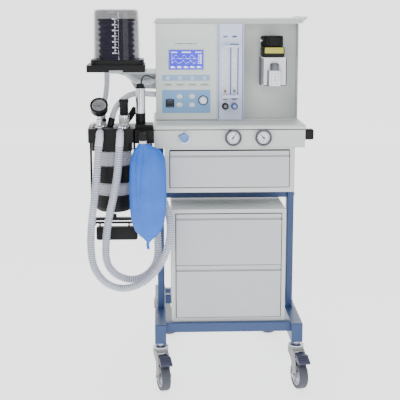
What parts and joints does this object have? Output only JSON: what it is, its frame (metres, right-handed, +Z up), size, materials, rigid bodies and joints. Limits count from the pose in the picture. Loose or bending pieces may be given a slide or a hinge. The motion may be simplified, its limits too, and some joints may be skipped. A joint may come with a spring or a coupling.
{
  "type": "anesthesia machine",
  "caption": "Veterinary anesthesia machine on a caster trolley: ventilator console, flowmeters, vaporizer, bellows, circle absorber, breathing hoses, reservoir bag and drawers.",
  "frame": {"origin": "on the floor, under the middle of the whole machine's box", "axes": "+Z up, -Y out of the front of the console, +X to the right as seen from the front"},
  "size_m": [0.7867, 0.714, 1.329],
  "materials": {
    "cabinet_paint": "satin light grey powder coat",
    "drawer_paint": "satin grey powder coat",
    "frame_paint": "satin blue powder coat",
    "fork_metal": "grey enamel",
    "tyre": "dark grey rubber",
    "pedal": "moulded dark plastic",
    "fascia": "printed overlay",
    "flow_fascia": "printed overlay",
    "display": "blue liquid crystal",
    "black_plastic": "moulded black plastic",
    "white_plastic": "moulded white plastic",
    "blue_plastic": "moulded blue plastic",
    "gauge": "polished bezel",
    "needle": "black enamel",
    "clear": "clear tube",
    "float_red": "red",
    "float_black": "black",
    "vaporizer": "white enamel",
    "filler_cap": "anodised",
    "arm_paint": "satin grey powder coat",
    "bellows_rubber": "folded rubber",
    "smoked": "smoked dome",
    "absorber_plastic": "moulded black plastic",
    "canister_clear": "clear jar",
    "bag_rubber": "soft blue rubber",
    "hose_plastic": "ribbed translucent hose",
    "fitting_metal": "plated fitting"
  },
  "bodies": {
    "machine": {"base_frame": "frame_paint", "upright_frame": "frame_paint", "lower_cabinet": "cabinet_paint", "console_body": "cabinet_paint", "gauge_cases": "gauge", "instrument_cabinet": "cabinet_paint", "top_tray": "cabinet_paint", "ventilator_panel": "fascia", "display": "display", "flowmeter_panel": "flow_fascia", "flow_tubes": "clear", "vaporizer_body": "vaporizer", "bellows_arm": "arm_paint", "bellows_base": "black_plastic", "bellows": "bellows_rubber", "bellows_dome": "smoked", "side_brackets": "black_plastic", "absorber_head": "absorber_plastic", "valve_domes": "clear", "reservoir_bag": "bag_rubber", "y_piece": "white_plastic", "hose_inspiratory": "hose_plastic", "hose_expiratory": "hose_plastic", "link_hoses": "hose_plastic", "rear_fittings": "fitting_metal"},
    "caster_front_left": {"caster_fork_front_left": "fork_metal"},
    "wheel_front_left": {"caster_wheel_front_left": "tyre"},
    "pedal_left": {"brake_pedal_left": "pedal"},
    "caster_front_right": {"caster_fork_front_right": "fork_metal"},
    "wheel_front_right": {"caster_wheel_front_right": "tyre"},
    "pedal_right": {"brake_pedal_right": "pedal"},
    "caster_rear_left": {"caster_fork_rear_left": "fork_metal"},
    "wheel_rear_left": {"caster_wheel_rear_left": "tyre"},
    "caster_rear_right": {"caster_fork_rear_right": "fork_metal"},
    "wheel_rear_right": {"caster_wheel_rear_right": "tyre"},
    "cabinet_drawer_upper": {"cabinet_drawer_upper": "drawer_paint"},
    "cabinet_drawer_lower": {"cabinet_drawer_lower": "drawer_paint"},
    "console_drawer": {"console_drawer": "drawer_paint"},
    "flush_button": {"flush_button": "blue_plastic"},
    "gauge_needle_left": {"gauge_needle_left": "needle"},
    "gauge_needle_right": {"gauge_needle_right": "needle"},
    "airway_needle": {"airway_needle": "needle"},
    "power_switch": {"power_switch": "black_plastic"},
    "key_menu_up": {"key_menu_up": "white_plastic"},
    "key_menu_down": {"key_menu_down": "white_plastic"},
    "key_value_up": {"key_value_up": "white_plastic"},
    "key_value_down": {"key_value_down": "white_plastic"},
    "encoder_knob": {"encoder_knob": "white_plastic"},
    "flow_knob_oxygen": {"flow_knob_oxygen": "black_plastic"},
    "float_oxygen": {"float_oxygen": "float_red"},
    "flow_knob_air": {"flow_knob_air": "black_plastic"},
    "float_air": {"float_air": "float_black"},
    "vaporizer_dial": {"vaporizer_dial": "black_plastic"},
    "filler_cap": {"vaporizer_filler_cap": "filler_cap"},
    "bellows_plate": {"bellows_plate": "black_plastic"},
    "apl_knob": {"apl_knob": "black_plastic"},
    "bag_vent_selector": {"bag_vent_selector": "black_plastic"},
    "canister_lift": {"canisters": "canister_clear", "canister_carrier": "absorber_plastic"},
    "lift_lever": {"lift_lever": "black_plastic"}
  },
  "joints": [
    {"name": "swivel_front_left", "type": "hinge", "parent": "machine", "child": "caster_front_left", "pos_m": [-0.146, -0.254, 0.15], "axis": [0, 0, 1], "continuous": true},
    {"name": "roll_front_left", "type": "hinge", "parent": "caster_front_left", "child": "wheel_front_left", "pos_m": [-0.13729, -0.28893, 0.05], "axis": [-0.9703, -0.2419, 0], "continuous": true},
    {"name": "brake_left", "type": "hinge", "parent": "caster_front_left", "child": "pedal_left", "pos_m": [-0.13874, -0.28311, 0.122], "axis": [0.9703, 0.2419, 0], "range_deg": [0, 12]},
    {"name": "swivel_front_right", "type": "hinge", "parent": "machine", "child": "caster_front_right", "pos_m": [0.338, -0.254, 0.15], "axis": [0, 0, 1], "continuous": true},
    {"name": "roll_front_right", "type": "hinge", "parent": "caster_front_right", "child": "wheel_front_right", "pos_m": [0.34671, -0.28893, 0.05], "axis": [-0.9703, -0.2419, 0], "continuous": true},
    {"name": "brake_right", "type": "hinge", "parent": "caster_front_right", "child": "pedal_right", "pos_m": [0.34526, -0.28311, 0.122], "axis": [0.9703, 0.2419, 0], "range_deg": [0, 12]},
    {"name": "swivel_rear_left", "type": "hinge", "parent": "machine", "child": "caster_rear_left", "pos_m": [-0.146, 0.33, 0.15], "axis": [0, 0, 1], "continuous": true},
    {"name": "roll_rear_left", "type": "hinge", "parent": "caster_rear_left", "child": "wheel_rear_left", "pos_m": [-0.11, 0.33, 0.05], "axis": [0, -1, 0], "continuous": true},
    {"name": "swivel_rear_right", "type": "hinge", "parent": "machine", "child": "caster_rear_right", "pos_m": [0.338, 0.33, 0.15], "axis": [0, 0, 1], "continuous": true},
    {"name": "roll_rear_right", "type": "hinge", "parent": "caster_rear_right", "child": "wheel_rear_right", "pos_m": [0.302, 0.33, 0.05], "axis": [0, 1, 0], "continuous": true},
    {"name": "cabinet_drawer_upper_slide", "type": "slide", "parent": "machine", "child": "cabinet_drawer_upper", "axis": [0, -1, 0], "range_m": [0, 0.3]},
    {"name": "cabinet_drawer_lower_slide", "type": "slide", "parent": "machine", "child": "cabinet_drawer_lower", "axis": [0, -1, 0], "range_m": [0, 0.3]},
    {"name": "console_drawer_slide", "type": "slide", "parent": "machine", "child": "console_drawer", "axis": [0, -1, 0], "range_m": [0, 0.28]},
    {"name": "flush_press", "type": "slide", "parent": "machine", "child": "flush_button", "axis": [0, 1, 0], "range_m": [0, 0.0045], "stiffness_N_per_m": 900},
    {"name": "needle_left_turn", "type": "hinge", "parent": "machine", "child": "gauge_needle_left", "pos_m": [0.107, -0.271, 0.898], "axis": [0, -1, 0], "range_deg": [-100, 170], "stiffness_Nm_per_rad": 0.001},
    {"name": "needle_right_turn", "type": "hinge", "parent": "machine", "child": "gauge_needle_right", "pos_m": [0.2107, -0.271, 0.898], "axis": [0, -1, 0], "range_deg": [-175, 95], "stiffness_Nm_per_rad": 0.001},
    {"name": "airway_needle_turn", "type": "hinge", "parent": "machine", "child": "airway_needle", "pos_m": [-0.3485, -0.25, 1.005], "axis": [0, -0.766, 0.6428], "range_deg": [-225, 45], "stiffness_Nm_per_rad": 0.001},
    {"name": "power_rock", "type": "hinge", "parent": "machine", "child": "power_switch", "pos_m": [-0.1065, -0.102, 1.001], "axis": [1, 0, 0], "range_deg": [0, 10]},
    {"name": "key_menu_up_press", "type": "slide", "parent": "machine", "child": "key_menu_up", "axis": [0, 1, 0], "range_m": [0, 0.001], "stiffness_N_per_m": 600},
    {"name": "key_menu_down_press", "type": "slide", "parent": "machine", "child": "key_menu_down", "axis": [0, 1, 0], "range_m": [0, 0.001], "stiffness_N_per_m": 600},
    {"name": "key_value_up_press", "type": "slide", "parent": "machine", "child": "key_value_up", "axis": [0, 1, 0], "range_m": [0, 0.001], "stiffness_N_per_m": 600},
    {"name": "key_value_down_press", "type": "slide", "parent": "machine", "child": "key_value_down", "axis": [0, 1, 0], "range_m": [0, 0.001], "stiffness_N_per_m": 600},
    {"name": "encoder_turn", "type": "hinge", "parent": "machine", "child": "encoder_knob", "pos_m": [0.0113, -0.117, 1.011], "axis": [0, -1, 0], "continuous": true},
    {"name": "flow_knob_oxygen_turn", "type": "hinge", "parent": "machine", "child": "flow_knob_oxygen", "pos_m": [0.0885, -0.127, 0.992], "axis": [0, -1, 0], "range_deg": [0, 1080]},
    {"name": "float_oxygen_rise", "type": "slide", "parent": "machine", "child": "float_oxygen", "axis": [0, 0, 1], "range_m": [0, 0.135]},
    {"name": "flow_knob_air_turn", "type": "hinge", "parent": "machine", "child": "flow_knob_air", "pos_m": [0.121, -0.127, 0.992], "axis": [0, -1, 0], "range_deg": [0, 1080]},
    {"name": "float_air_rise", "type": "slide", "parent": "machine", "child": "float_air", "axis": [0, 0, 1], "range_m": [0, 0.135]},
    {"name": "vaporizer_dial_turn", "type": "hinge", "parent": "machine", "child": "vaporizer_dial", "pos_m": [0.254, -0.099, 1.21], "axis": [0, 0, 1], "range_deg": [0, 300]},
    {"name": "filler_cap_turn", "type": "hinge", "parent": "machine", "child": "filler_cap", "pos_m": [0.258, -0.1575, 1.13], "axis": [0, 0, 1], "range_deg": [0, 540]},
    {"name": "bellows_fall", "type": "slide", "parent": "machine", "child": "bellows_plate", "axis": [0, 0, -1], "range_m": [0, 0.1], "deforming": ["bellows"]},
    {"name": "apl_turn", "type": "hinge", "parent": "machine", "child": "apl_knob", "pos_m": [-0.266, -0.204, 0.99], "axis": [0, 0, 1], "range_deg": [0, 270]},
    {"name": "selector_turn", "type": "hinge", "parent": "machine", "child": "bag_vent_selector", "pos_m": [-0.265, -0.158, 0.932], "axis": [0.5452, 0, 0.8383], "range_deg": [-45, 45]},
    {"name": "canister_drop", "type": "slide", "parent": "machine", "child": "canister_lift", "axis": [0, 0, -1], "range_m": [0, 0.012]},
    {"name": "lift_lever_swing", "type": "hinge", "parent": "machine", "child": "lift_lever", "pos_m": [-0.305, -0.201, 0.591], "axis": [1, 0, 0], "range_deg": [0, 60]}
  ],
  "couplings": [
    {"joint": "lift_lever_swing", "follows": "canister_drop", "rad_per_m": 87}
  ]
}
